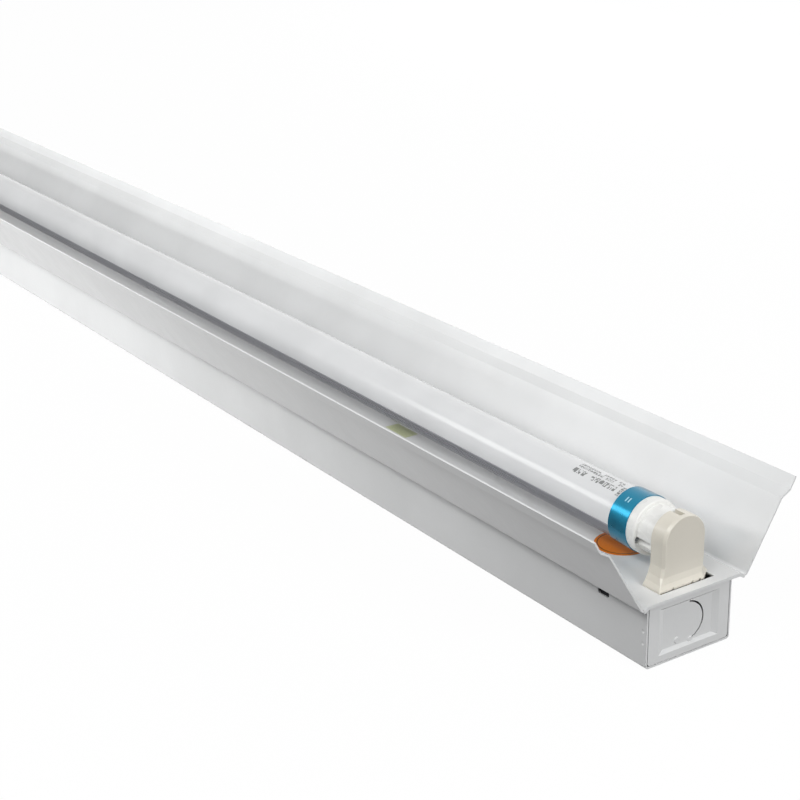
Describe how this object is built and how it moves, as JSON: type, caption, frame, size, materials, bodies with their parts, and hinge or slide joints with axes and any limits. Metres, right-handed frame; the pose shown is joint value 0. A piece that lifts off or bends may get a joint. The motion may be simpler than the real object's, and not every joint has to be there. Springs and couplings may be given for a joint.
{
  "type": "led tube light fixture",
  "caption": "White sheet-metal batten light fixture: box spine, trough reflector with winged sides, rotary lampholders and a turn-in LED tube with blue end rings.",
  "frame": {"origin": "centre of the fixture's length and width, on the back face that goes against the ceiling", "axes": "+X along the fixture towards the end seen in the picture, +Y across it, +Z away from the mounting surface towards the lamp"},
  "size_m": [1.535, 0.1174, 0.0727],
  "materials": {
    "white_paint": "white powder coat, satin, on thin steel sheet",
    "ivory_plastic": "warm ivory moulded plastic, semi-gloss",
    "white_plastic": "white moulded plastic",
    "opal_plastic": "opal white diffuser, smooth",
    "lamp_cap_white": "white moulded plastic, semi-gloss",
    "blue_ring": "bright blue, glossy",
    "aluminium": "extruded, satin",
    "brass": "bright",
    "steel": "zinc plated",
    "spring_steel": "blued spring strip",
    "dark_rubber": "black, matt",
    "dark_plastic": "black moulded",
    "board_white": "white solder mask",
    "board_green": "green solder mask",
    "phosphor_yellow": "pale yellow phosphor",
    "earth_sleeve": "green and yellow insulation",
    "live_sleeve": "brown insulation",
    "neutral_sleeve": "blue insulation",
    "orange_label": "orange printed label",
    "yellow_green_label": "pale yellow-green printed label"
  },
  "bodies": {
    "fixture": {"spine_channel": "white_paint", "end_plate_near": "white_paint", "end_plate_far": "white_paint", "cable_grommet": "dark_rubber", "terminal_block": "white_plastic", "terminal_tubes": "brass", "terminal_screws": "steel", "terminal_fixings": "steel", "earth_screw": "steel", "earth_washer": "steel", "earth_tag": "steel", "earth_lead": "earth_sleeve", "live_lead": "live_sleeve", "neutral_lead": "neutral_sleeve", "lead_clips": "white_plastic", "reflector": "white_paint", "reflector_clips": "spring_steel", "round_label": "orange_label", "small_label": "yellow_green_label", "holder_body_near": "ivory_plastic", "holder_body_far": "ivory_plastic", "holder_cover_near": "ivory_plastic", "holder_cover_far": "ivory_plastic", "holder_contacts_near": "brass", "holder_contacts_far": "brass"},
    "lamp": {"lamp_heatsink": "aluminium", "lamp_diffuser": "opal_plastic", "led_board": "board_white", "led_chips": "phosphor_yellow", "driver_board": "board_green", "driver_parts": "dark_plastic", "lamp_leads": "live_sleeve", "ring_near": "blue_ring", "ring_far": "blue_ring", "cap_near": "lamp_cap_white", "cap_far": "lamp_cap_white", "cap_screws_near": "steel", "cap_screws_far": "steel", "pins_near": "brass", "pins_far": "brass"},
    "rotor_near": {"rotor_near": "white_plastic"},
    "rotor_far": {"rotor_far": "white_plastic"}
  },
  "joints": [
    {"name": "lamp_turn", "type": "hinge", "parent": "fixture", "child": "lamp", "pos_m": [0, 0, 0.053], "axis": [1, 0, 0], "range_deg": [0, 90]},
    {"name": "rotor_near_turn", "type": "hinge", "parent": "fixture", "child": "rotor_near", "pos_m": [0, 0, 0.053], "axis": [1, 0, 0], "range_deg": [0, 90]},
    {"name": "rotor_far_turn", "type": "hinge", "parent": "fixture", "child": "rotor_far", "pos_m": [0, 0, 0.053], "axis": [1, 0, 0], "range_deg": [0, 90]}
  ],
  "couplings": [
    {"joint": "rotor_near_turn", "follows": "lamp_turn", "ratio": 1},
    {"joint": "rotor_far_turn", "follows": "lamp_turn", "ratio": 1}
  ]
}
